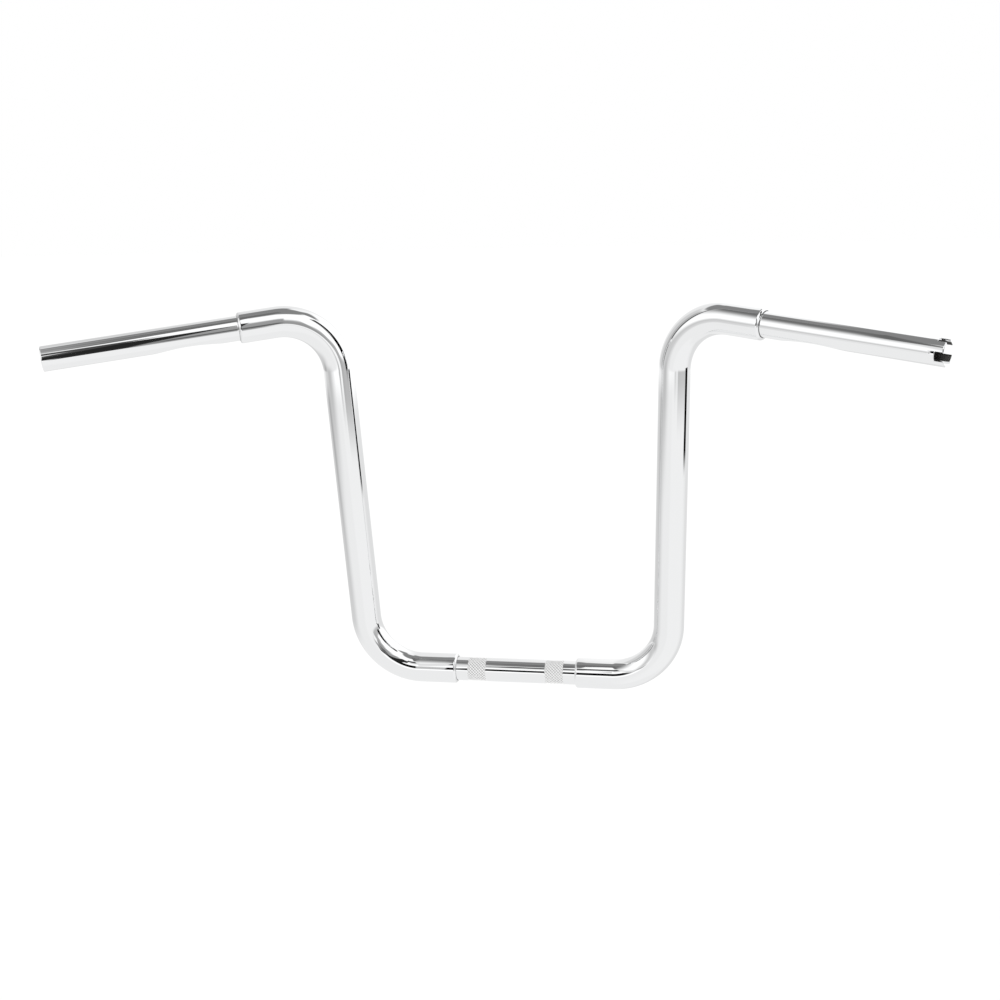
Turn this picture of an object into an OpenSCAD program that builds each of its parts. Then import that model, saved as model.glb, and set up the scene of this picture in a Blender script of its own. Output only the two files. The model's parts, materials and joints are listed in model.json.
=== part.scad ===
// Ape hanger handlebar for a motorbike: two bent side tubes of 1 1/4 inch, joined at the
// bottom by a knurled 1 inch clamp tube and ending at the top in two 1 inch grip tubes.
// Each slimmer tube has a turned spigot that slips into the side tube as far as a shoulder.
// The origin is the middle of the clamp tube. X is the rider's right, Y is forward and Z is up.
// Lengths are in millimetres and angles in degrees.

/* [Side tubes] */
// Outside diameter of the two bent side tubes
side_od = 31.75; // [31:0.25:38]
// Wall of the side tubes
side_wall = 3.4; // [2.6:0.1:4.5]
// Rounding of the outer edge where a side tube ends
lip_round = 2.6; // [0.5:0.1:3]
// Straight stretch of a side tube from its lower mouth to the lower bend
lower_straight = 40; // [34:1:80]
// Centreline radius of the lower bends
lower_bend_r = 60; // [45:1:120]
// Angle that the lower bends turn through
lower_angle = 88; // [70:0.5:100]
// Straight height of the risers between the two bends
riser_straight = 275; // [60:5:420]
// Centreline radius of the upper bends
upper_bend_r = 57; // [45:1:120]
// Angle that the grips sweep back towards the rider
pullback_angle = 25; // [0:1:45]
// Angle that the grips fall away towards their outer ends
drop_angle = 4; // [-5:0.5:20]
// Straight stretch of a side tube from the upper bend to its upper mouth
upper_straight = 38; // [34:1:80]

/* [Clamp tube] */
// Outside diameter of the clamp tube and the grip tubes
slim_od = 25.4; // [22:0.1:27]
// Wall of the clamp tube and the grip tubes
slim_wall = 2.4; // [1.6:0.1:3]
// Length of clamp tube that shows between the two side tubes
clamp_show = 130; // [110:1:240]
// Distance between the inner edges of the two knurled bands
knurl_apart = 65; // [30:1:80]
// Width of each knurled band
knurl_w = 19.5; // [6:0.5:21]
// Diamonds round one knurled band
knurl_count = 24; // [16:1:32]
// Depth of the knurl's valleys below the tube
knurl_depth = 0.5; // [0.2:0.05:0.8]

/* [Grip tubes] */
// Length of the plain left grip tube that shows beyond the side tube
grip_show = 196; // [130:1:260]
// How much shorter the notched right grip tube is, to leave room for the throttle sensor
notched_shorter = 16; // [0:1:30]
// Chamfer on the outer end of the grip tubes
end_chamfer = 0.8; // [0.2:0.1:1.2]
// Depth of the pressed wiring dimple under each grip tube
dimple_depth = 3.3; // [1:0.1:4]
// Length of the dimple along the tube
dimple_len = 66; // [40:1:72]
// Distance from the side tube's mouth to the deepest place of the dimple
dimple_from_mouth = 52; // [38:1:60]
// Number of notches in the right grip's end, which index the throttle sensor
notch_count = 4; // [2:1:6]
// Width of each notch
notch_w = 9; // [3:0.5:10]
// Depth of each notch along the tube
notch_depth = 8.5; // [2:0.5:14]
// Angle of the first notch below the level line that faces the rider
notch_turn = 8; // [-45:1:45]
// How much the notched end is reamed, on the radius, for the throttle sensor
socket_ream = 0.2; // [0.1:0.05:0.6]
// Length of the reamed socket
socket_len = 90; // [40:1:95]

/* [Joints between tubes] */
// Length of the spigots inside the side tubes
spigot_len = 30; // [12:1:33]
// Gap all round between a spigot and the bore of its side tube
spigot_gap = 0.05; // [0.02:0.01:0.2]
// Chamfer on the hidden end of each spigot
spigot_chamfer = 0.8; // [0.2:0.1:1.5]

/* [Hidden] */
$fn = 96;
chrome = [0.86, 0.87, 0.88];
// How far a cutting shape runs past what it cuts
over = 1;
// The bends come out this much thicker on the radius than the straights, which run this far
// into them
bend_swell = 0.1;
lap = 0.5;
// Least width of flat that is left beside a rounded or chamfered edge
edge_land = 0.4;
// The knurled rings start a little below their valleys, are this thick there, and stop short
// of the groove's two walls
knurl_bed = 0.1;
knurl_root = 0.3;
knurl_margin = 0.2;

side_r = side_od / 2;
bore_r = side_r - side_wall;
lip_r = min(lip_round, side_wall - edge_land);
slim_r = slim_od / 2;
slim_bore_r = slim_r - slim_wall;
spigot_r = bore_r - spigot_gap;
spigot_edge = min(spigot_chamfer, spigot_r - slim_bore_r - edge_land);
end_edge = min(end_chamfer, slim_wall - edge_land);
notched_show = grip_show - notched_shorter;

// Directions of the riser and of the right grip, and the bend that takes one into the other
riser_dir = [cos(lower_angle), 0, sin(lower_angle)];
grip_dir = [cos(pullback_angle) * cos(drop_angle), -sin(pullback_angle) * cos(drop_angle), -sin(drop_angle)];
along = riser_dir * grip_dir;
upper_angle = round(acos(along) * 100) / 100;
across = (grip_dir - along * riser_dir) / sin(acos(along));
inward = [-sin(lower_angle), 0, cos(lower_angle)];
upper_turn = round(atan2(-across[1], across * inward) * 100) / 100;

// The dimple is pressed by a wide round die that lies across the tube
dimple_die_r = pow(dimple_len / 2, 2) / (2 * dimple_depth) + dimple_depth / 2;

// Half a diamond round the tube, and the half diamonds along a band, so that they come out square
knurl_valley_r = slim_r - knurl_depth;
knurl_floor_r = knurl_valley_r - knurl_bed;
knurl_step = 180 / knurl_count;
knurl_rows = 2 * round(knurl_w / (2 * PI * slim_r / knurl_count));

// A bend of round bar that starts at the origin along Z and turns towards X
module bend(r, bend_r, angle) {
    translate([bend_r, 0, 0]) rotate([90, 0, 180])
        rotate_extrude(angle = angle) translate([bend_r, 0]) circle(r = r + bend_swell);
}

// The frame at the far end of such a bend
module past_bend(bend_r, angle) {
    translate([bend_r, 0, 0]) rotate([0, angle, 0]) translate([-bend_r, 0, 0]) children();
}

// The frame of the right side tube's lower mouth: Z runs into the tube, X is up
module at_lower_mouth() {
    translate([clamp_show / 2, 0, 0]) rotate([0, 90, 0]) rotate([0, 0, 180]) children();
}

// The frame at the start of the right side tube's lower bend, with X towards the inside of the bend
module at_lower_bend() {
    at_lower_mouth() translate([0, 0, lower_straight]) children();
}

// The frame at the foot of the right riser, with Z up it
module at_riser() {
    at_lower_bend() past_bend(lower_bend_r, lower_angle) children();
}

// The frame at the start of the right riser's upper bend, with X towards the inside of the bend
module at_upper_bend() {
    at_riser() translate([0, 0, riser_straight]) rotate([0, 0, upper_turn]) children();
}

// The frame of the right upper mouth: Z runs out along the grip, X is down and Y forward
module at_upper_mouth() {
    at_upper_bend() past_bend(upper_bend_r, upper_angle) translate([0, 0, upper_straight]) children();
}

// A straight end of a side tube whose mouth, at the origin, has a rounded edge
module mouth(len) {
    rotate_extrude() difference() {
        square([side_r, len]);
        translate([side_r - lip_r, -over]) difference() {
            square([lip_r + over, lip_r + over]);
            translate([0, lip_r + over]) circle(r = lip_r);
        }
    }
}

// The two bends and the riser between them, of round bar
module bends_and_riser(r) {
    at_lower_bend() bend(r, lower_bend_r, lower_angle);
    at_riser() translate([0, 0, -lap]) cylinder(r = r, h = riser_straight + 2 * lap);
    at_upper_bend() bend(r, upper_bend_r, upper_angle);
}

// The right side tube, bored right through
module side_tube() {
    color(chrome) difference() {
        union() {
            at_lower_mouth() mouth(lower_straight + lap);
            bends_and_riser(side_r);
            at_upper_mouth() mirror([0, 0, 1]) mouth(upper_straight + lap);
        }
        union() {
            at_lower_mouth() translate([0, 0, -over]) cylinder(r = bore_r, h = lower_straight + lap + over);
            bends_and_riser(bore_r);
            at_upper_mouth() translate([0, 0, -upper_straight - lap])
                cylinder(r = bore_r, h = upper_straight + lap + over);
        }
    }
}

// Half section of a spigot that ends at height -spigot_len, as points from the bore outwards
function spigot_points() = [
    [slim_bore_r, -spigot_len],
    [spigot_r - spigot_edge, -spigot_len],
    [spigot_r, -spigot_len + spigot_edge],
    [spigot_r, 0],
    [slim_r, 0]
];

// A knurled ring about Z from height 0: pyramids in staggered rows, with their tips at crest_r
module knurl_ring(crest_r, valley_r, inner_r, width) {
    cols = 2 * knurl_count;
    rows = knurl_rows;
    function tip(i, j) = (i + j) % 2 == 1;
    function at(i, j) = (tip(i, j) ? crest_r : valley_r) * [cos(i * knurl_step), sin(i * knurl_step)];
    outer = [for (j = [0:rows], i = [0:cols - 1]) concat(at(i, j), [j * width / rows])];
    inner = [for (z = [0, width], i = [0:cols - 1])
        [inner_r * cos(i * knurl_step), inner_r * sin(i * knurl_step), z]];
    function o(i, j) = j * cols + (i + cols) % cols;
    function n(i, k) = (rows + 1 + k) * cols + (i + cols) % cols;
    sides = [for (j = [0:rows], i = [0:cols - 1]) if (tip(i, j)) for (f = [
        if (j < rows) [o(i, j), o(i, j + 1), o(i + 1, j)],
        if (j < rows) [o(i, j), o(i - 1, j), o(i, j + 1)],
        if (j > 0) [o(i, j), o(i + 1, j), o(i, j - 1)],
        if (j > 0) [o(i, j), o(i, j - 1), o(i - 1, j)]
    ]) f];
    ends = [for (i = [0:cols - 1]) each [
        [o(i, 0), o(i + 1, 0), n(i + 1, 0)],
        [o(i, 0), n(i + 1, 0), n(i, 0)],
        [o(i, rows), n(i + 1, 1), o(i + 1, rows)],
        [o(i, rows), n(i, 1), n(i + 1, 1)],
        [n(i, 0), n(i + 1, 0), n(i + 1, 1)],
        [n(i, 0), n(i + 1, 1), n(i, 1)]
    ]];
    polyhedron(points = concat(outer, inner), faces = concat(sides, ends));
}

// The clamp tube along X, with its two knurled bands and a spigot at each end
module clamp_tube() {
    half = clamp_show / 2;
    bands = [-knurl_apart / 2 - knurl_w, knurl_apart / 2];
    color(chrome) rotate([0, 90, 0]) union() {
        rotate_extrude() difference() {
            union() for (end = [0, 1]) mirror([0, end])
                translate([0, -half])
                    polygon(concat(spigot_points(), [[slim_r, half], [slim_bore_r, half]]));
            for (start = bands) translate([knurl_floor_r, start]) square([knurl_depth + over, knurl_w]);
        }
        for (start = bands) translate([0, 0, start + knurl_margin])
            knurl_ring(slim_r, knurl_valley_r, knurl_floor_r - knurl_root, knurl_w - 2 * knurl_margin);
    }
}

// The die under a grip tube, grown by a margin
module dimple_die(grow) {
    translate([slim_r - dimple_depth + dimple_die_r, 0, dimple_from_mouth])
        rotate([90, 0, 0]) cylinder(r = dimple_die_r + grow, h = slim_od + 2 * over, center = true);
}

// A grip tube along Z that shows for a given length, with its spigot below the origin and the
// dimple on the X side. Its outer end is bored to end_bore_r for the length ream_len. The wall
// bulges inwards over the dimple
module grip_body(show, end_bore_r, ream_len) {
    difference() {
        rotate_extrude() polygon(concat([[0, -spigot_len]], [for (k = [1:4]) spigot_points()[k]], [
            [slim_r, show - end_edge], [slim_r - end_edge, show], [0, show]
        ]));
        dimple_die(0);
        difference() {
            union() {
                translate([0, 0, -spigot_len - over])
                    cylinder(r = slim_bore_r, h = show + spigot_len + 2 * over);
                translate([0, 0, show - ream_len]) cylinder(r = end_bore_r, h = ream_len + over);
            }
            dimple_die(slim_wall);
        }
    }
}

// The left grip tube is the plain one, with the same bore from end to end
module left_grip_tube() {
    color(chrome) mirror([1, 0, 0]) at_upper_mouth() grip_body(grip_show, slim_bore_r, socket_len);
}

// The right grip tube also has the throttle sensor's reamed socket and the notches that index it
module right_grip_tube() {
    color(chrome) at_upper_mouth() difference() {
        grip_body(notched_show, slim_bore_r + socket_ream, socket_len);
        for (k = [0:notch_count - 1]) rotate([0, 0, -90 + notch_turn + k * 360 / notch_count])
            translate([0, -notch_w / 2, notched_show - notch_depth])
                cube([slim_od, notch_w, notch_depth + over]);
    }
}

// The two side tubes are mirror images
module right_side_tube() {
    side_tube();
}

module left_side_tube() {
    mirror([1, 0, 0]) side_tube();
}

clamp_tube();
left_side_tube();
right_side_tube();
left_grip_tube();
right_grip_tube();
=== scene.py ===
import json
from math import acos, asin, atan2, ceil, cos, degrees, hypot, pi, radians, sin, sqrt

import bmesh
import bpy
from bpy.props import FloatProperty, FloatVectorProperty, IntProperty, PointerProperty
from mathutils import Matrix, Vector

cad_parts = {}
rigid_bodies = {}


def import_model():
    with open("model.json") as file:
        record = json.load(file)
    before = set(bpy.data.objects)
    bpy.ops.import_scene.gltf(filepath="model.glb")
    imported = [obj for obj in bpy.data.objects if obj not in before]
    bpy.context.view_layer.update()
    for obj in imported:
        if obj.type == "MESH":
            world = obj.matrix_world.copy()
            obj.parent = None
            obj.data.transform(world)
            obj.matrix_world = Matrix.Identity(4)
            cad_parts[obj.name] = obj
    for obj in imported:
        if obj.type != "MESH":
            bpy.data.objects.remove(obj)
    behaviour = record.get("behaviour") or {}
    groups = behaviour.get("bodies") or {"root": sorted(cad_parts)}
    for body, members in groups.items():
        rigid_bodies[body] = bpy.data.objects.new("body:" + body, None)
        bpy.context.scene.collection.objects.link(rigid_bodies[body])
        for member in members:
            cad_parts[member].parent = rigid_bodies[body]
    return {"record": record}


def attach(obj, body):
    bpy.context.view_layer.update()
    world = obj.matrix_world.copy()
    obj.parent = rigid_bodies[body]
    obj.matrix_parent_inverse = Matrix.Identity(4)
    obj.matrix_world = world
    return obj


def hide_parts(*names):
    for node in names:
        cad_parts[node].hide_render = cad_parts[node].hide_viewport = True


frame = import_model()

bl_info = {
    "name": "Ape Hanger Handlebar",
    "version": (1, 0, 0),
    "blender": (4, 5, 0),
    "location": "3D View > Sidebar > Handlebar",
    "description": "Builds a chrome ape hanger handlebar around its packed frame",
    "category": "Add Mesh",
}

BODY = "root"


def record_mount(name):
    """The record's entry for one mount of the bar."""
    return next(m for m in frame["record"]["mounts"] if m["name"] == name)


SLIM_RADIUS = record_mount("bar_clamp")["dims"]["r_mm"] / 1000
SOCKET_RADIUS = record_mount("throttle_socket")["dims"]["r_mm"] / 1000
PLAIN_LENGTH = record_mount("bar_clamp")["dims"]["length_mm"] / 1000


def length(name, default, description):
    """A property that holds a length in metres."""
    return FloatProperty(name=name, description=description, default=default, min=0.0,
                         precision=5, subtype="DISTANCE", unit="LENGTH")


def angle(name, default, description):
    """A property that holds an angle, given in degrees."""
    return FloatProperty(name=name, description=description, default=radians(default),
                         subtype="ANGLE", unit="ROTATION")


def share(name, default, description):
    """A property that holds a share from 0 to 1."""
    return FloatProperty(name=name, description=description, default=default, min=0.0, max=1.0,
                         subtype="FACTOR")


def colour(name, default, description):
    """A property that holds a colour."""
    return FloatVectorProperty(name=name, description=description, default=default, size=3,
                               min=0.0, max=1.0, subtype="COLOR")


class BarSizes(bpy.types.PropertyGroup):
    side_radius: length("Side tube radius", 0.015875, "Outside radius of the bent side tubes")
    side_wall: length("Side tube wall", 0.0034, "Wall of the bent side tubes")
    lip: length("Mouth rounding", 0.0026, "Rounding of the edge where a side tube ends")
    lower_straight: length("Lower straight", 0.040, "From the lower mouth to the lower bend")
    lower_bend: length("Lower bend radius", 0.060, "Centreline radius of the lower bends")
    lower_angle: angle("Lower bend angle", 88.0, "Angle that the lower bends turn through")
    riser: length("Riser", 0.275, "Straight height between the two bends")
    upper_bend: length("Upper bend radius", 0.057, "Centreline radius of the upper bends")
    pullback: angle("Pullback", 25.0, "Angle that the grips sweep back")
    drop: angle("Drop", 4.0, "Angle that the grips fall away")
    upper_straight: length("Upper straight", 0.038, "From the upper bend to the upper mouth")
    slim_radius: length("Slim tube radius", SLIM_RADIUS, "Outside radius of the clamp and grip tubes")
    slim_wall: length("Slim tube wall", 0.0024, "Wall of the clamp and grip tubes")
    clamp_show: length("Clamp tube", 0.130, "Clamp tube that shows between the side tubes")
    knurl_apart: length("Plain middle", PLAIN_LENGTH, "Plain stretch between the knurled bands")
    knurl_width: length("Knurled band", 0.0195, "Width of each knurled band")
    knurl_depth: length("Knurl depth", 0.0005, "Depth of the knurl's valleys")
    knurl_count: IntProperty(name="Diamonds", description="Diamonds round a knurled band",
                             default=24, min=8, max=40)
    grip_show: length("Grip tube", 0.196, "Plain left grip tube that shows beyond the side tube")
    notched_shorter: length("Notched tube shorter", 0.016, "How much shorter the right grip tube is")
    spigot: length("Spigot", 0.030, "Length of the spigots inside the side tubes")
    spigot_gap: length("Spigot gap", 0.00005, "Gap between a spigot and the side tube's bore")
    end_chamfer: length("End chamfer", 0.0008, "Chamfer on the grip tubes' outer ends")
    dimple_depth: length("Dimple depth", 0.0033, "Depth of the wiring dimple under each grip tube")
    dimple_length: length("Dimple length", 0.066, "Length of the wiring dimple")
    dimple_from_mouth: length("Dimple place", 0.052, "From the side tube to the deepest place")
    notch_count: IntProperty(name="Notches", description="Notches in the right grip tube's end",
                             default=4, min=2, max=6)
    notch_width: length("Notch width", 0.009, "Width of each notch")
    notch_depth: length("Notch depth", 0.0085, "Depth of each notch along the tube")
    notch_turn: angle("Notch turn", 8.0, "How far the first notch is turned down")
    socket_length: length("Socket length", 0.090, "Reamed length behind the notches")


class BarFinish(bpy.types.PropertyGroup):
    chrome: colour("Chrome", (0.93, 0.935, 0.94), "Colour of the chrome plate")
    chrome_roughness: share("Chrome roughness", 0.035, "Roughness of the polished chrome")
    knurl_roughness: share("Knurl roughness", 0.35, "Roughness of the plated knurl")
    knurl_mirror: share("Knurl mirror", 0.1, "How far the knurl mirrors rather than scatters light")
    crest: colour("Knurl crests", (0.985, 0.985, 0.985), "Colour of the knurl's scattering crests")
    # Painted shade: the knurl's valleys are coloured black, darker than the plate itself
    valley: colour("Knurl valleys", (0.0, 0.0, 0.0), "Colour deep in the knurl's valleys")
    steel: colour("Bare steel", (0.16, 0.155, 0.15), "Colour of the bare steel inside the tubes")
    steel_roughness: share("Steel roughness", 0.55, "Roughness of the bare steel")


class BarStage(bpy.types.PropertyGroup):
    focal: FloatProperty(name="Focal length", description="Camera lens", default=55.656, unit="CAMERA")
    yaw: angle("Yaw", 12.36, "How far the camera stands round to the rider's right")
    pitch: angle("Pitch", -17.17, "How far the camera looks up")
    roll: angle("Roll", -2.78, "How far the camera is rolled")
    distance: length("Distance", 1.61733, "From the camera to the aim point")
    aim_x: FloatProperty(name="Aim X", description="Aim point to the rider's right",
                         default=-0.00961, unit="LENGTH")
    aim_z: length("Aim height", 0.19313, "Aim point's height above the clamp tube")
    floor_drop: length("Floor drop", 0.40, "How far the floor lies below the clamp tube")


# Frames and centrelines

def shift(x=0.0, y=0.0, z=0.0):
    """A matrix that moves along the three axes."""
    return Matrix.Translation((x, y, z))


def turn(amount, axis):
    """A matrix that turns about one axis."""
    return Matrix.Rotation(amount, 4, axis)


def past_bend(radius, amount):
    """The frame at the far end of a bend that starts along Z and turns towards X."""
    return shift(radius) @ turn(amount, "Y") @ shift(-radius)


def frames(s):
    """The frames of the right side tube's stations, from its lower mouth to its upper mouth."""
    riser_dir = Vector((cos(s.lower_angle), 0, sin(s.lower_angle)))
    grip_dir = Vector((cos(s.pullback) * cos(s.drop), -sin(s.pullback) * cos(s.drop), -sin(s.drop)))
    inward = Vector((-sin(s.lower_angle), 0, cos(s.lower_angle)))
    along = riser_dir.dot(grip_dir)
    upper_angle = radians(round(degrees(acos(along)), 2))
    across = (grip_dir - along * riser_dir).normalized()
    upper_turn = radians(round(degrees(atan2(-across.y, across.dot(inward))), 2))
    mouth = shift(s.clamp_show / 2) @ turn(pi / 2, "Y") @ turn(pi, "Z")
    lower = mouth @ shift(z=s.lower_straight)
    riser = lower @ past_bend(s.lower_bend, s.lower_angle)
    upper = riser @ shift(z=s.riser) @ turn(upper_turn, "Z")
    exit_ = upper @ past_bend(s.upper_bend, upper_angle)
    return {"mouth": mouth, "lower": lower, "riser": riser, "upper": upper, "exit": exit_,
            "grip": exit_ @ shift(z=s.upper_straight), "upper_angle": upper_angle}


# First step in from a tube's rim, steps over a lip, and steps along a bend and along a straight
RIM_STEP = 0.00002
LIP_STEPS = 10
BEND_STEP = radians(1.5)
STRAIGHT_STEP = 0.010
# Sides of the bent tubes' section
TUBE_SIDES = 128
# Points closer than this are merged
MERGE = 1e-7


def straight_steps(end, fine_start=False, fine_end=False, lip=0.0):
    """Distances from 0 to end along a straight, crowded over the lip at either end if asked."""
    crowd = [RIM_STEP] + [lip * (1 - cos(pi / 2 * k / LIP_STEPS)) for k in range(1, LIP_STEPS + 1)]
    low = [0.0] + (crowd if fine_start else [])
    high = [end] + ([end - c for c in crowd] if fine_end else [])
    inner_low, inner_high = max(low), min(high)
    count = max(2, ceil((inner_high - inner_low) / STRAIGHT_STEP))
    middle = [inner_low + (inner_high - inner_low) * k / count for k in range(1, count)]
    return sorted(low + middle + high)


def bend_points(start, radius, amount):
    """Points along a bend, without its first and last."""
    count = round(amount / BEND_STEP)
    turns = [amount * k / count for k in range(1, count)]
    return [start @ Vector((radius * (1 - cos(t)), 0, radius * sin(t))) for t in turns]


def side_path(s):
    """The right side tube's centreline, from its lower mouth to its upper mouth."""
    f = frames(s)
    points = [f["mouth"] @ Vector((0, 0, z))
              for z in straight_steps(s.lower_straight, fine_start=True, lip=s.lip)]
    points += bend_points(f["lower"], s.lower_bend, s.lower_angle)
    points += [f["riser"] @ Vector((0, 0, z)) for z in straight_steps(s.riser)]
    points += bend_points(f["upper"], s.upper_bend, f["upper_angle"])
    points += [f["exit"] @ Vector((0, 0, z))
               for z in straight_steps(s.upper_straight, fine_end=True, lip=s.lip)]
    return points


# Meshes and objects

def new_object(name, data):
    """Links a new object to the scene."""
    obj = bpy.data.objects.new(name, data)
    bpy.context.scene.collection.objects.link(obj)
    return obj


def path_object(name, points):
    """An open polyline through the points, as a curve object."""
    data = bpy.data.curves.new(name, "CURVE")
    data.dimensions = "3D"
    spline = data.splines.new("POLY")
    spline.points.add(len(points) - 1)
    for place, point in zip(spline.points, points):
        place.co = (*point, 1.0)
    return new_object(name, data)


def surface(name, verts, faces):
    """A mesh object from lists of points and faces."""
    data = bpy.data.meshes.new(name)
    data.from_pydata(verts, [], faces)
    return new_object(name, data)


def sharpen(obj, limit=radians(32)):
    """Shades smooth, with edges sharper than the limit kept crisp and all faces outwards."""
    bm = bmesh.new()
    bm.from_mesh(obj.data)
    bmesh.ops.remove_doubles(bm, verts=bm.verts, dist=MERGE)
    bmesh.ops.recalc_face_normals(bm, faces=bm.faces)
    if bm.calc_volume(signed=True) < 0:
        bmesh.ops.reverse_faces(bm, faces=bm.faces)
    for face in bm.faces:
        face.smooth = True
    for edge in bm.edges:
        edge.smooth = edge.calc_face_angle(0.0) < limit
    bm.to_mesh(obj.data)
    bm.free()


def closed(obj):
    """Stops the script if a tube's mesh has an open edge."""
    bm = bmesh.new()
    bm.from_mesh(obj.data)
    loose = sum(1 for e in bm.edges if len(e.link_faces) != 2)
    bm.free()
    if loose:
        raise RuntimeError(f"{obj.name} has {loose} open edges")


def finish(obj, node):
    """Hands a finished piece over to the frame in place of its solid."""
    closed(obj)
    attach(obj, BODY)
    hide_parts(node)


def bake(obj):
    """Turns an object with live modifiers into a plain mesh object of the same name."""
    bpy.context.view_layer.update()
    depsgraph = bpy.context.evaluated_depsgraph_get()
    data = bpy.data.meshes.new_from_object(obj.evaluated_get(depsgraph))
    name = obj.name
    bpy.data.objects.remove(obj)
    data.name = name
    return new_object(name, data)


# Materials

# The range that most of a noise texture's values fall in
NOISE_RANGE = (0.35, 0.65)
# Detail of the smudges and of the waves, and how much finer the waves are than the smudges
SMUDGE_DETAIL = 4.0
WAVE_DETAIL = 1.0
WAVE_GRAIN = 1.7
# How deep in a knurl's valley its painted shade starts, and where it is full
VALLEY_SHADE = (0.6, 0.9)


def material(name):
    """An empty node material and its tree."""
    mat = bpy.data.materials.new(name)
    mat.use_nodes = True
    mat.node_tree.nodes.clear()
    return mat, mat.node_tree


def add(tree, kind, **settings):
    """Adds a node and sets its attributes."""
    node = tree.nodes.new(kind)
    for key, value in settings.items():
        setattr(node, key, value)
    return node


def math(tree, operation, *values, clamp=False):
    """A Math node whose inputs are sockets or numbers. Returns its output."""
    node = add(tree, "ShaderNodeMath", operation=operation, use_clamp=clamp)
    for socket, value in zip(node.inputs, values):
        if isinstance(value, (int, float)):
            socket.default_value = value
        else:
            tree.links.new(value, socket)
    return node.outputs[0]


def metal(name, colour_value, roughness, spread, grain, wave_height, mirror=1.0, deep=None):
    """A plated or bare metal: roughness varies a little and the surface is very slightly wavy.
    A knurl's valleys take the deep colour as painted shade, if one is given."""
    mat, tree = material(name)
    link = tree.links.new
    place = add(tree, "ShaderNodeTexCoord").outputs["Object"]
    smudge = add(tree, "ShaderNodeTexNoise")
    smudge.inputs["Scale"].default_value = grain
    smudge.inputs["Detail"].default_value = SMUDGE_DETAIL
    link(place, smudge.inputs["Vector"])
    rough = add(tree, "ShaderNodeMapRange")
    rough.inputs["From Min"].default_value = NOISE_RANGE[0]
    rough.inputs["From Max"].default_value = NOISE_RANGE[1]
    rough.inputs["To Min"].default_value = roughness * (1 - spread)
    rough.inputs["To Max"].default_value = roughness * (1 + spread)
    link(smudge.outputs["Fac"], rough.inputs["Value"])
    wave = add(tree, "ShaderNodeTexNoise")
    wave.inputs["Scale"].default_value = grain * WAVE_GRAIN
    wave.inputs["Detail"].default_value = WAVE_DETAIL
    link(place, wave.inputs["Vector"])
    bump = add(tree, "ShaderNodeBump")
    bump.inputs["Strength"].default_value = 1.0
    bump.inputs["Distance"].default_value = wave_height
    link(wave.outputs["Fac"], bump.inputs["Height"])
    shader = add(tree, "ShaderNodeBsdfPrincipled")
    shader.inputs["Base Color"].default_value = (*colour_value, 1.0)
    shader.inputs["Metallic"].default_value = mirror
    link(rough.outputs["Result"], shader.inputs["Roughness"])
    link(bump.outputs["Normal"], shader.inputs["Normal"])
    # Painted shade: a knurl's colour is mixed towards the dark deep colour in its valleys
    if deep:
        painted_shade_mask = add(tree, "ShaderNodeMapRange", interpolation_type="SMOOTHSTEP")
        painted_shade_mask.inputs["From Min"].default_value = VALLEY_SHADE[0]
        painted_shade_mask.inputs["From Max"].default_value = VALLEY_SHADE[1]
        depth = add(tree, "ShaderNodeAttribute", attribute_name=VALLEY)
        link(depth.outputs["Fac"], painted_shade_mask.inputs["Value"])
        shade = add(tree, "ShaderNodeMix", data_type="RGBA")
        shade.inputs[6].default_value = (*colour_value, 1.0)
        shade.inputs[7].default_value = (*deep, 1.0)
        link(painted_shade_mask.outputs["Result"], shade.inputs[0])
        link(shade.outputs[2], shader.inputs["Base Color"])
    link(shader.outputs[0], add(tree, "ShaderNodeOutputMaterial").inputs["Surface"])
    return mat


def finishes():
    """The bar's three materials, made once."""
    look = bpy.context.scene.bar_finish
    made = bpy.data.materials
    if "polished_chrome" not in made:
        metal("polished_chrome", look.chrome, look.chrome_roughness,
              spread=0.3, grain=35.0, wave_height=0.000004)
        # The knurl gets painted shade in its valleys from the valley colour
        metal("knurled_chrome", look.crest, look.knurl_roughness,
              spread=0.2, grain=300.0, wave_height=0.00001, mirror=look.knurl_mirror, deep=look.valley)
        metal("bare_steel", look.steel, look.steel_roughness,
              spread=0.25, grain=180.0, wave_height=0.00005)
    return made["polished_chrome"], made["knurled_chrome"], made["bare_steel"]


# Geometry Nodes

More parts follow.
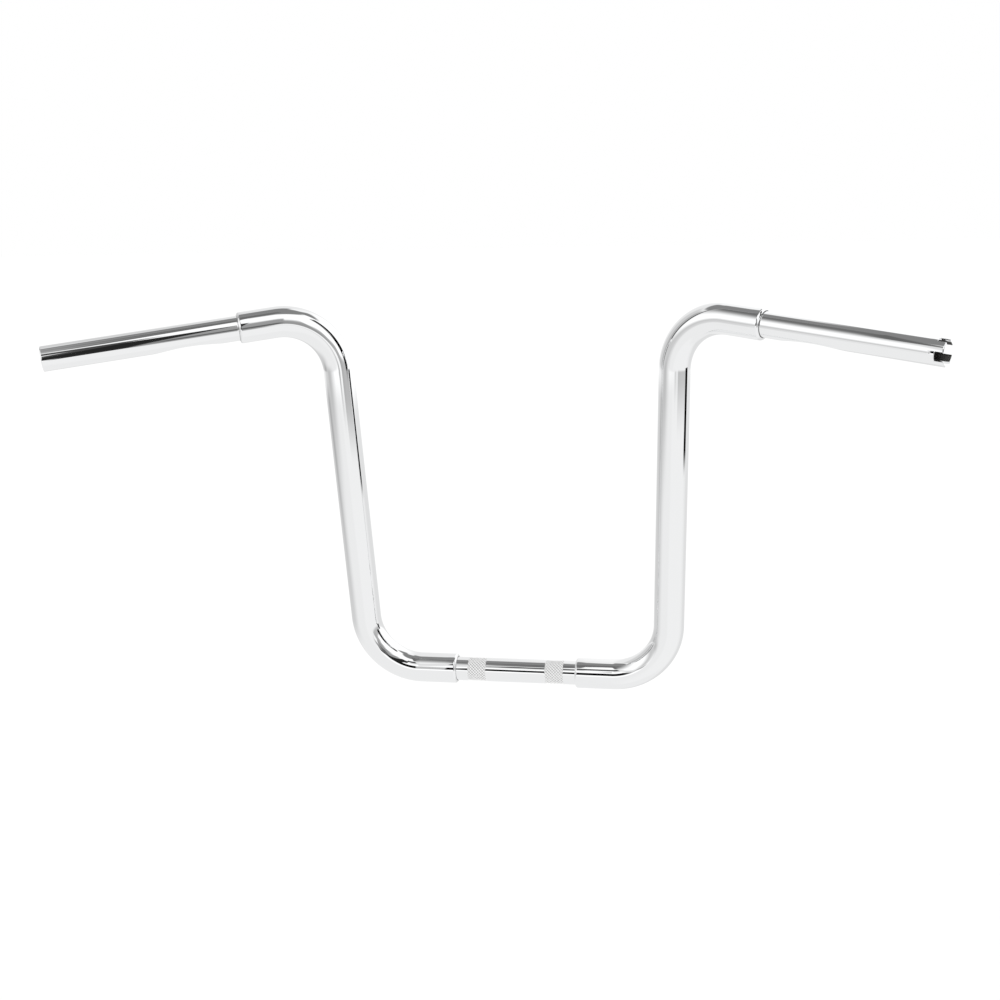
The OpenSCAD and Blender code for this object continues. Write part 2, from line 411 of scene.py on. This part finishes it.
class Tree:
    """A Geometry Nodes tree that is built up node by node."""

    def __init__(self, name, inputs):
        self.tree = bpy.data.node_groups.new(name, "GeometryNodeTree")
        face = self.tree.interface
        face.new_socket("Geometry", in_out="INPUT", socket_type="NodeSocketGeometry")
        self.ids = {}
        for label, kind in inputs.items():
            self.ids[label] = face.new_socket(label, in_out="INPUT", socket_type=kind).identifier
        face.new_socket("Geometry", in_out="OUTPUT", socket_type="NodeSocketGeometry")
        self.source = self.tree.nodes.new("NodeGroupInput")
        self.result = self.tree.nodes.new("NodeGroupOutput")

    def given(self, label):
        """The socket of one of the tree's named inputs."""
        return self.source.outputs[label]

    def node(self, kind, wires=(), **settings):
        """Adds a node, with wires as a map from input name to a socket or a value."""
        node = self.tree.nodes.new(kind)
        for key, value in settings.items():
            setattr(node, key, value)
        for key, value in dict(wires).items():
            socket = node.inputs[key]
            if isinstance(value, bpy.types.NodeSocket):
                self.tree.links.new(value, socket)
            else:
                socket.default_value = value
        return node

    def math(self, operation, *values, clamp=False):
        """A Math node whose inputs are sockets or numbers. Returns its output."""
        node = self.tree.nodes.new("ShaderNodeMath")
        node.operation = operation
        node.use_clamp = clamp
        for socket, value in zip(node.inputs, values):
            if isinstance(value, (int, float)):
                socket.default_value = value
            else:
                self.tree.links.new(value, socket)
        return node.outputs[0]

    def end(self, geometry):
        """Ends the tree in Realize Instances."""
        real = self.node("GeometryNodeRealizeInstances", {"Geometry": geometry})
        self.tree.links.new(real.outputs["Geometry"], self.result.inputs["Geometry"])

    def apply(self, obj, values):
        """Puts the tree on an object, sets its inputs and bakes the result to a mesh."""
        modifier = obj.modifiers.new(self.tree.name, "NODES")
        modifier.node_group = self.tree
        for label, value in values.items():
            modifier[self.ids[label]] = value
        return bake(obj)


def bent_tube_tree():
    """Sweeps a tube with rounded mouths along a centreline, walls inside and out."""
    t = Tree("bent_tube", {
        "Sides": "NodeSocketInt", "Outer Radius": "NodeSocketFloat", "Bore Radius": "NodeSocketFloat",
        "Mouth Rounding": "NodeSocketFloat", "Outside": "NodeSocketMaterial",
        "Inside": "NodeSocketMaterial"})
    ring = t.node("GeometryNodeCurvePrimitiveCircle", {"Resolution": t.given("Sides"), "Radius": 1.0})
    so_far = t.node("GeometryNodeSplineParameter").outputs["Length"]
    whole = t.node("GeometryNodeSplineLength").outputs["Length"]
    from_end = t.math("MINIMUM", so_far, t.math("SUBTRACT", whole, so_far))
    lip = t.given("Mouth Rounding")
    depth = t.math("SUBTRACT", 1.0, t.math("DIVIDE", from_end, lip), clamp=True)
    fall = t.math("SUBTRACT", 1.0, t.math("SQRT", t.math("SUBTRACT", 1.0, t.math("POWER", depth, 2.0))))
    outer = t.math("SUBTRACT", t.given("Outer Radius"), t.math("MULTIPLY", lip, fall))
    at_rim = t.math("LESS_THAN", from_end, RIM_STEP / 2)
    bore = t.given("Bore Radius")
    inner = t.math("ADD", bore, t.math("MULTIPLY", at_rim, t.math("SUBTRACT", outer, bore)))
    walls = []
    for scale, finish_name in ((outer, "Outside"), (inner, "Inside")):
        wall = t.node("GeometryNodeCurveToMesh", {
            "Curve": t.given("Geometry"), "Profile Curve": ring.outputs["Curve"], "Scale": scale})
        walls.append(t.node("GeometryNodeSetMaterial", {
            "Geometry": wall.outputs["Mesh"], "Material": t.given(finish_name)}))
    joined = t.node("GeometryNodeJoinGeometry")
    for wall in walls:
        t.tree.links.new(wall.outputs["Geometry"], joined.inputs["Geometry"])
    t.end(joined.outputs["Geometry"])
    return t


# The knurl's attribute that tells its valleys, where the material paints shade, and how steeply its
# diamonds rise out of them
VALLEY = "valley"
CREST_RISE = 3.2
# Steps of the mesh over one diamond, along and round the tube, and the least radius that is divided by
CELL_STEPS = 8
LEAST_RADIUS = 0.0001


def knurled_tube_tree():
    """Sweeps a straight tube along Z and cuts two bands of diamonds into it."""
    t = Tree("knurled_tube", {
        "Sides": "NodeSocketInt", "Outer Radius": "NodeSocketFloat", "Diamonds": "NodeSocketInt",
        "Band Start": "NodeSocketFloat", "Band Width": "NodeSocketFloat", "Depth": "NodeSocketFloat",
        "Plain": "NodeSocketMaterial", "Knurled": "NodeSocketMaterial"})
    ring = t.node("GeometryNodeCurvePrimitiveCircle", {"Resolution": t.given("Sides"), "Radius": 1.0})
    wall = t.node("GeometryNodeCurveToMesh", {
        "Curve": t.given("Geometry"), "Profile Curve": ring.outputs["Curve"],
        "Scale": t.given("Outer Radius")}).outputs["Mesh"]
    place = t.node("ShaderNodeSeparateXYZ", {"Vector": t.node("GeometryNodeInputPosition").outputs[0]})
    x, y, z = place.outputs
    cell = t.math("DIVIDE", t.math("MULTIPLY", t.given("Outer Radius"), 2 * pi), t.given("Diamonds"))
    rows = t.math("ROUND", t.math("DIVIDE", t.given("Band Width"), cell))
    within = t.math("SUBTRACT", t.math("ABSOLUTE", z), t.given("Band Start"))
    up = t.math("MULTIPLY", t.math("DIVIDE", within, t.given("Band Width")), rows)
    around = t.math("MULTIPLY", t.math("DIVIDE", t.math("ARCTAN2", y, x), 2 * pi), t.given("Diamonds"))
    ridges = [t.math("PINGPONG", t.math(way, around, up), 0.5) for way in ("ADD", "SUBTRACT")]
    crest = t.math("MULTIPLY", t.math("MINIMUM", *ridges), CREST_RISE, clamp=True)
    in_band = t.math("MULTIPLY", t.math("GREATER_THAN", within, -RIM_STEP),
                     t.math("LESS_THAN", within, t.math("ADD", t.given("Band Width"), RIM_STEP)))
    valley = t.math("MULTIPLY", t.math("SUBTRACT", 1.0, crest), in_band)
    sunk = t.math("MULTIPLY", valley, t.given("Depth"))
    radius = t.math("SQRT", t.math("ADD", t.math("POWER", x, 2.0), t.math("POWER", y, 2.0)))
    scale = t.math("DIVIDE", t.math("SUBTRACT", radius, sunk), t.math("MAXIMUM", radius, LEAST_RADIUS))
    moved = t.node("ShaderNodeCombineXYZ", {
        "X": t.math("MULTIPLY", x, scale), "Y": t.math("MULTIPLY", y, scale), "Z": z})
    # The valley depth is kept for the knurl's material, which paints shade from it
    marked = t.node("GeometryNodeStoreNamedAttribute", {
        "Geometry": wall, "Name": VALLEY, "Value": valley})
    cut = t.node("GeometryNodeSetPosition", {
        "Geometry": marked.outputs["Geometry"], "Position": moved.outputs[0]})
    plain = t.node("GeometryNodeSetMaterial", {
        "Geometry": cut.outputs["Geometry"], "Material": t.given("Plain")})
    banded = t.node("GeometryNodeSetMaterial", {
        "Geometry": plain.outputs["Geometry"], "Selection": in_band, "Material": t.given("Knurled")})
    t.end(banded.outputs["Geometry"])
    return t


# The grip tubes

# How softly the dimple runs out into the tube, and the step between rings over it
DIMPLE_EDGE = 0.0008
DIMPLE_STEP = 0.0015
# The die reaches round the tube as far as the angle with this cosine
DIMPLE_FLANK = 0.05
# Rings from the dimple to the notches, and columns over one tang and over one notch
PLAIN_RINGS = 8
TANG_STEPS = 24
NOTCH_STEPS = 16
# Half the angle that stands for a notch on the tube without any
UNCUT_HALF = radians(20)
# Rounding of the grip tubes' edges, and the angle from which an edge is rounded
EDGE_ROUND = 0.00025
EDGE_LIMIT = radians(50)


def soft_min(a, b, width):
    """The smaller of two numbers, with a rounded change from one to the other."""
    near = max(width - abs(a - b), 0.0) / width
    return min(a, b) - near * near * width / 4


def pressed(radius, z, phi, s, grow):
    """The radius that the round die, grown by a margin, leaves at a place on a tube."""
    die = (s.dimple_length / 2) ** 2 / (2 * s.dimple_depth) + s.dimple_depth / 2
    away = z - s.dimple_from_mouth
    if abs(away) > s.dimple_length or cos(phi) <= DIMPLE_FLANK:
        return radius
    flat = s.slim_radius - s.dimple_depth + die - sqrt((die + grow) ** 2 - away ** 2)
    return soft_min(radius, flat / cos(phi), DIMPLE_EDGE)


def grip_stations(s, show):
    """Distances along a grip tube from its mouth, and the outer radius at each. A ring just before
    the chamfer keeps its shading off the tube."""
    edge = s.end_chamfer
    floor = show - s.notch_depth
    spigot_radius = s.side_radius - s.side_wall - s.spigot_gap
    low = [(-s.spigot, spigot_radius), (0.0, spigot_radius), (RIM_STEP, s.slim_radius)]
    count = round((s.dimple_from_mouth + s.dimple_length) / DIMPLE_STEP)
    press = [(RIM_STEP + DIMPLE_STEP * k, s.slim_radius) for k in range(1, count)]
    last = press[-1][0]
    plain = [(last + (floor - last) * k / PLAIN_RINGS, s.slim_radius) for k in range(1, PLAIN_RINGS + 1)]
    high = [(show - 1.5 * edge, s.slim_radius), (show - edge, s.slim_radius),
            (show - edge / 3, s.slim_radius - edge / 4), (show, s.slim_radius - edge)]
    return low + press + plain + high


def columns(radius, s, notched):
    """Angles round the tube, in order, with a mark for those that lie in a notch."""
    half = asin(min(1.0, s.notch_width / 2 / radius)) if notched else UNCUT_HALF
    pitch = 2 * pi / s.notch_count
    out = []
    for k in range(s.notch_count):
        middle = -pi / 2 + s.notch_turn + k * pitch
        out += [(middle - half + 2 * half * j / NOTCH_STEPS, True) for j in range(NOTCH_STEPS)]
        out += [(middle + half + (pitch - 2 * half) * j / TANG_STEPS, False) for j in range(TANG_STEPS)]
    return out


def grip_tube(name, s, notched):
    """A grip tube along Z as one closed skin: outside, end face, bore and spigot face."""
    show = s.grip_show - (s.notched_shorter if notched else 0.0)
    stations = grip_stations(s, show)
    bore = s.slim_radius - s.slim_wall
    socket_start = show - s.socket_length
    floor = show - s.notch_depth
    verts, faces, inside = [], [], []

    def ring(z, radius, grow):
        start = len(verts)
        for phi, _ in columns(radius, s, notched):
            r = pressed(radius, z, phi, s, grow) if z > 0 else radius
            verts.append((r * cos(phi), r * sin(phi), z))
        return start

    def inner_radius(z):
        return SOCKET_RADIUS if notched and z >= socket_start else bore

    outer = [ring(z, r, 0.0) for z, r in stations]
    inner = [ring(z, inner_radius(z), s.slim_wall) for z, _ in stations]
    count = s.notch_count * (NOTCH_STEPS + TANG_STEPS)
    marks = [cut for _, cut in columns(bore, s, notched)]
    open_from = next(i for i, (z, _) in enumerate(stations) if z >= floor - RIM_STEP)

    def quad(a, b, c, d, is_inside):
        faces.append((a, b, c, d))
        inside.append(is_inside)

    last = len(stations) - 1
    for c in range(count):
        n = (c + 1) % count
        in_notch = notched and marks[c]
        top = open_from if in_notch else last
        for i in range(top):
            quad(outer[i] + c, outer[i] + n, outer[i + 1] + n, outer[i + 1] + c, False)
            quad(inner[i] + n, inner[i] + c, inner[i + 1] + c, inner[i + 1] + n, True)
        quad(outer[top] + c, outer[top] + n, inner[top] + n, inner[top] + c, False)
        quad(outer[0] + n, outer[0] + c, inner[0] + c, inner[0] + n, True)
        if notched and marks[c] != marks[c - 1]:
            for i in range(open_from, last):
                quad(outer[i] + c, outer[i + 1] + c, inner[i + 1] + c, inner[i] + c, False)
    obj = surface(name, verts, faces)
    for face, is_inside in zip(obj.data.polygons, inside):
        face.material_index = 1 if is_inside else 0
    return obj


def round_edges(obj):
    """Rounds the sharp edges of a mesh by a small bevel and bakes it."""
    bevel = obj.modifiers.new("edge_round", "BEVEL")
    bevel.width = EDGE_ROUND
    bevel.segments = 2
    bevel.limit_method = "ANGLE"
    bevel.angle_limit = EDGE_LIMIT
    bevel.use_clamp_overlap = True
    return bake(obj)


class HANDLEBAR_OT_side_tubes(bpy.types.Operator):
    """Makes the two bent side tubes"""
    bl_idname = "handlebar.side_tubes"
    bl_label = "Side Tubes"

    def execute(self, context):
        s = context.scene.bar_sizes
        chrome, _, steel = finishes()
        tree = bent_tube_tree()
        path = side_path(s)
        for side, name in ((1, "right_side_tube"), (-1, "left_side_tube")):
            points = [Vector((side * p.x, p.y, p.z)) for p in path]
            tube = tree.apply(path_object(name + "_chrome", points), {
                "Sides": TUBE_SIDES, "Outer Radius": s.side_radius,
                "Bore Radius": s.side_radius - s.side_wall, "Mouth Rounding": s.lip,
                "Outside": chrome, "Inside": steel})
            sharpen(tube)
            finish(tube, name)
        return {"FINISHED"}


class HANDLEBAR_OT_clamp_tube(bpy.types.Operator):
    """Makes the clamp tube with its two knurled bands"""
    bl_idname = "handlebar.clamp_tube"
    bl_label = "Clamp Tube"

    def execute(self, context):
        s = context.scene.bar_sizes
        chrome, knurl, _ = finishes()
        start = s.knurl_apart / 2
        end = start + s.knurl_width
        cell = 2 * pi * s.slim_radius / s.knurl_count
        rows = CELL_STEPS * round(s.knurl_width / cell)
        band = [start + s.knurl_width * k / rows for k in range(rows + 1)]
        plain = [start * k / 4 for k in range(1, 4)]
        half = plain + [start - 2 * RIM_STEP] + band + [end + 2 * RIM_STEP, s.clamp_show / 2]
        spigot_radius = s.side_radius - s.side_wall - s.spigot_gap
        heights = [-z for z in reversed(half)] + [0.0] + half
        tree = knurled_tube_tree()
        tube = tree.apply(path_object("clamp_tube_chrome", [Vector((0, 0, z)) for z in heights]), {
            "Sides": CELL_STEPS * s.knurl_count, "Outer Radius": s.slim_radius, "Diamonds": s.knurl_count,
            "Band Start": start, "Band Width": s.knurl_width, "Depth": s.knurl_depth,
            "Plain": chrome, "Knurled": knurl})
        close_ends(tube, s, spigot_radius)
        tube.data.transform(turn(pi / 2, "Y"))
        sharpen(tube)
        finish(tube, "clamp_tube")
        return {"FINISHED"}


def close_ends(tube, s, spigot_radius):
    """Adds the spigots at both ends of the clamp tube and the bore that joins them."""
    bm = bmesh.new()
    bm.from_mesh(tube.data)
    bmesh.ops.remove_doubles(bm, verts=bm.verts, dist=MERGE)
    rims = []
    for side in (-1, 1):
        z_end = side * s.clamp_show / 2
        rim = [v for v in bm.verts if abs(v.co.z - z_end) < RIM_STEP / 2]
        rim.sort(key=lambda v: atan2(v.co.y, v.co.x))
        steps = ((spigot_radius, 0.0), (spigot_radius, s.spigot), (s.slim_radius - s.slim_wall, s.spigot))
        for radius, out in steps:
            fresh = [bm.verts.new((radius * v.co.x / hypot(v.co.x, v.co.y),
                                   radius * v.co.y / hypot(v.co.x, v.co.y), z_end + side * out))
                     for v in rim]
            for k in range(len(rim)):
                bm.faces.new((rim[k - 1], rim[k], fresh[k], fresh[k - 1]))
            rim = fresh
        rims.append(rim)
    for k in range(len(rims[0])):
        bm.faces.new((rims[0][k - 1], rims[0][k], rims[1][k], rims[1][k - 1]))
    bm.to_mesh(tube.data)
    bm.free()


class HANDLEBAR_OT_grip_tubes(bpy.types.Operator):
    """Makes the two grip tubes, the right one notched"""
    bl_idname = "handlebar.grip_tubes"
    bl_label = "Grip Tubes"

    def execute(self, context):
        s = context.scene.bar_sizes
        chrome, _, steel = finishes()
        place = frames(s)["grip"]
        mirror = Matrix.Scale(-1, 4, Vector((1, 0, 0)))
        for node, notched, where in (("right_grip_tube", True, place),
                                     ("left_grip_tube", False, mirror @ place)):
            tube = grip_tube(node + "_chrome", s, notched)
            tube.data.materials.append(chrome)
            tube.data.materials.append(steel)
            sharpen(tube)
            tube = round_edges(tube)
            tube.data.transform(where)
            sharpen(tube)
            finish(tube, node)
        return {"FINISHED"}


# Stage

def soft_step(tree, value, low, high):
    """A mask that rises smoothly from 0 at low to 1 at high."""
    node = add(tree, "ShaderNodeMapRange", interpolation_type="SMOOTHSTEP")
    tree.links.new(value, node.inputs["Value"])
    node.inputs["From Min"].default_value = low
    node.inputs["From Max"].default_value = high
    return node.outputs["Result"]


def panel(tree, base, azimuth, elevation, sides, heights, soft, brightness):
    """Lays a soft-edged panel of one brightness over what the studio shows so far."""
    masks = []
    for value, (low, high), edge in ((azimuth, sides, soft[0]), (elevation, heights, soft[1])):
        masks.append(soft_step(tree, value, low - edge, low + edge))
        masks.append(math(tree, "SUBTRACT", 1.0, soft_step(tree, value, high - edge, high + edge)))
    mask = masks[0]
    for other in masks[1:]:
        mask = math(tree, "MULTIPLY", mask, other)
    mixed = add(tree, "ShaderNodeMix", data_type="FLOAT")
    tree.links.new(mask, mixed.inputs[0])
    if isinstance(base, (int, float)):
        mixed.inputs[2].default_value = base
    else:
        tree.links.new(base, mixed.inputs[2])
    mixed.inputs[3].default_value = brightness
    return mixed.outputs[0]


# The dome round the bar that the chrome mirrors, and its brightness where no panel lies
DOME_RADIUS = 1.6
DOME_MESH = {"u_segments": 128, "v_segments": 64}
BARE_DOME = 0.9
# Panels on the dome. Each row has a panel's azimuth from the rider's side round towards the rider's
# right, its elevation as seen from the middle of the clamp tube, the softness of its edges, all in
# degrees, and its brightness. Later rows lie over earlier ones
ALL_ROUND = (-200, 200)
STUDIO = (
    # pale floor, brighter in front on the right, greyer to the left and behind
    (ALL_ROUND, (-100, 0), (1, 2), 0.89),
    ((-2, 95), (-60, 0), (8, 6), 0.925),
    ((-150, -70), (-26, 3), (24, 10), 0.66),
    ((-106, -84), (-9, 3), (14, 9), 0.36),
    ((113, 200), (-60, -2), (12, 8), 0.78),
    # white walls under a grey ceiling
    (ALL_ROUND, (-1, 62), (1, 1.5), 1.12),
    (ALL_ROUND, (60, 100), (1, 4), 0.24),
    ((-17, 110), (52, 74), (2, 2.5), 1.10),
    ((-200, -165), (50, 70), (6, 3), 1.0),
    ((165, 200), (50, 70), (6, 3), 1.0),
    # the wall behind on the left, darker towards its dark edge
    ((-175, -86), (1, 59), (14, 3), 0.87),
    ((-138, -86), (1, 57), (10, 4), 0.67),
    ((-108, -86), (1, 55), (7, 5), 0.46),
    ((-91, -84), (2, 62), (1.5, 4), 0.02),
    # softbox on the left that fades out at its foot and at its top
    ((-84, -22), (50, 100), (4, 8), 1.12),
    ((-84, -22), (58, 100), (4, 18), 0.16),
    ((-84, -45), (-5, 6), (20, 7), 0.50),
    ((-84, -26), (4, 17), (4, 10), 0.53),
    ((-26, -20), (1.5, 14), (1.5, 1.5), 0.47),
    ((-26, -20), (14, 60), (1.5, 3), 0.79),
    # frame of the window in front: its sill, its left side and its head
    ((-20, -14.5), (8, 24), (1, 1.5), 0.54),
    ((-20, -8), (38, 56), (2, 4), 0.70),
    ((-20.5, -1), (45.5, 56), (0.8, 1.5), 0.06),
    ((-31, -19), (62, 100), (3, 2), 0.14),
    ((-16.3, 6), (9, 25.5), (0.8, 1.5), 0.0),
    # dark doorway beside the window
    ((-1.5, 12), (8, 49), (1, 2), 0.02),
    ((-5, 0), (32, 49), (1, 2), 0.07),
    ((5, 12), (1.5, 12), (0.8, 1.5), 0.03),
    # grey wall on the right of it, whose top slopes down to the right
    ((35, 93), (-3.5, 10), (1.5, 3), 0.52),
    ((12, 52), (0.5, 18), (2, 4), 0.45),
    ((12, 44), (3, 26), (2, 7), 0.42),
    ((12, 35), (5, 35), (1.5, 9), 0.37),
    ((11.5, 23), (1, 45), (1, 6), 0.34),
    ((11.5, 35), (2, 24), (1, 1.5), 0.33),
    ((21.5, 35), (-1, 7), (1, 1.5), 1.0),
    ((12, 22), (9, 19), (1, 2), 0.12),
    # dark post on the right
    ((89.5, 109), (-8, 3), (1, 1), 0.0),
    ((73, 95), (2, 62), (1, 2), 0.0),
    ((74, 80), (34, 58), (1.5, 4), 0.33),
)
# Half the floor's width, the grain and tones of its colour, and the light that it gives itself
FLOOR_HALF = 6.0
FLOOR_GRAIN = 60.0
FLOOR_TONES = (0.90, 0.93)
FLOOR_LIFT = 0.12


class HANDLEBAR_OT_stage(bpy.types.Operator):
    """Makes the floor, the studio that the chrome mirrors and the camera"""
    bl_idname = "handlebar.stage"
    bl_label = "Stage"

    def execute(self, context):
        self.studio(context)
        self.floor(context)
        self.camera(context)
        return {"FINISHED"}

    def studio(self, context):
        world = bpy.data.worlds.new("plain_white")
        context.scene.world = world
        world.use_nodes = True
        world.node_tree.nodes["Background"].inputs["Color"].default_value = (1, 1, 1, 1)
        bm = bmesh.new()
        bmesh.ops.create_uvsphere(bm, radius=DOME_RADIUS, **DOME_MESH)
        mesh = bpy.data.meshes.new("studio_dome")
        bm.to_mesh(mesh)
        bm.free()
        dome = new_object("studio_dome", mesh)
        mat, tree = material("studio_panels")
        mat.cycles.emission_sampling = "NONE"
        link = tree.links.new
        way = add(tree, "ShaderNodeVectorMath", operation="NORMALIZE")
        link(add(tree, "ShaderNodeTexCoord").outputs["Object"], way.inputs[0])
        place = add(tree, "ShaderNodeSeparateXYZ")
        link(way.outputs["Vector"], place.inputs[0])
        x, y, z = place.outputs
        azimuth = math(tree, "DEGREES", math(tree, "ARCTAN2", x, math(tree, "MULTIPLY", y, -1.0)))
        elevation = math(tree, "DEGREES", math(tree, "ARCSINE", z))
        shown = BARE_DOME
        for sides, heights, soft, brightness in STUDIO:
            shown = panel(tree, shown, azimuth, elevation, sides, heights, soft, brightness)
        glow = add(tree, "ShaderNodeEmission")
        link(shown, glow.inputs["Strength"])
        link(glow.outputs[0], add(tree, "ShaderNodeOutputMaterial").inputs["Surface"])
        mesh.materials.append(mat)
        dome.visible_camera = False
        dome.visible_diffuse = False
        dome.visible_transmission = False
        dome.visible_volume_scatter = False
        dome.visible_shadow = False

    def floor(self, context):
        st = context.scene.bar_stage
        verts = [(sx * FLOOR_HALF, sy * FLOOR_HALF, -st.floor_drop)
                 for sx, sy in ((-1, -1), (1, -1), (1, 1), (-1, 1))]
        floor = surface("studio_floor", verts, [(0, 1, 2, 3)])
        mat, tree = material("pale_floor")
        link = tree.links.new
        matt = add(tree, "ShaderNodeBsdfDiffuse")
        grain = add(tree, "ShaderNodeTexNoise")
        grain.inputs["Scale"].default_value = FLOOR_GRAIN
        tone = add(tree, "ShaderNodeMapRange")
        tone.inputs["To Min"].default_value = FLOOR_TONES[0]
        tone.inputs["To Max"].default_value = FLOOR_TONES[1]
        link(add(tree, "ShaderNodeTexCoord").outputs["Object"], grain.inputs["Vector"])
        link(grain.outputs["Fac"], tone.inputs["Value"])
        link(tone.outputs["Result"], matt.inputs["Color"])
        lift = add(tree, "ShaderNodeEmission")
        lift.inputs["Strength"].default_value = FLOOR_LIFT
        both = add(tree, "ShaderNodeAddShader")
        link(matt.outputs[0], both.inputs[0])
        link(lift.outputs[0], both.inputs[1])
        link(both.outputs[0], add(tree, "ShaderNodeOutputMaterial").inputs["Surface"])
        floor.data.materials.append(mat)
        floor.visible_glossy = False

    def camera(self, context):
        st = context.scene.bar_stage
        data = bpy.data.cameras.new("camera")
        data.lens = st.focal
        camera = new_object("camera", data)
        aim = Vector((st.aim_x, 0, st.aim_z))
        look = turn(st.yaw, "Z") @ turn(pi / 2 + st.pitch, "X") @ turn(st.roll, "Z")
        camera.matrix_world = Matrix.Translation(aim) @ look @ shift(z=st.distance)
        context.scene.camera = camera
        context.scene.view_settings.view_transform = "Standard"


class HANDLEBAR_PT_panel(bpy.types.Panel):
    """Lists the bar's operators and sizes"""
    bl_idname = "HANDLEBAR_PT_panel"
    bl_label = "Handlebar"
    bl_space_type = "VIEW_3D"
    bl_region_type = "UI"
    bl_category = "Handlebar"

    def draw(self, context):
        for step in STEPS:
            self.layout.operator(step.bl_idname)
        for group in (context.scene.bar_sizes, context.scene.bar_finish, context.scene.bar_stage):
            box = self.layout.box()
            for key in group.bl_rna.properties.keys():
                if key not in ("rna_type", "name"):
                    box.prop(group, key)


STEPS = (HANDLEBAR_OT_stage, HANDLEBAR_OT_side_tubes, HANDLEBAR_OT_clamp_tube, HANDLEBAR_OT_grip_tubes)
CLASSES = (BarSizes, BarFinish, BarStage) + STEPS + (HANDLEBAR_PT_panel,)


def register():
    for cls in CLASSES:
        bpy.utils.register_class(cls)
    bpy.types.Scene.bar_sizes = PointerProperty(type=BarSizes)
    bpy.types.Scene.bar_finish = PointerProperty(type=BarFinish)
    bpy.types.Scene.bar_stage = PointerProperty(type=BarStage)


def unregister():
    for key in ("bar_sizes", "bar_finish", "bar_stage"):
        delattr(bpy.types.Scene, key)
    for cls in reversed(CLASSES):
        bpy.utils.unregister_class(cls)


def main():
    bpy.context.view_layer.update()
    register()
    bpy.ops.handlebar.stage()
    bpy.ops.handlebar.side_tubes()
    bpy.ops.handlebar.clamp_tube()
    bpy.ops.handlebar.grip_tubes()


if __name__ == "__main__":
    main()
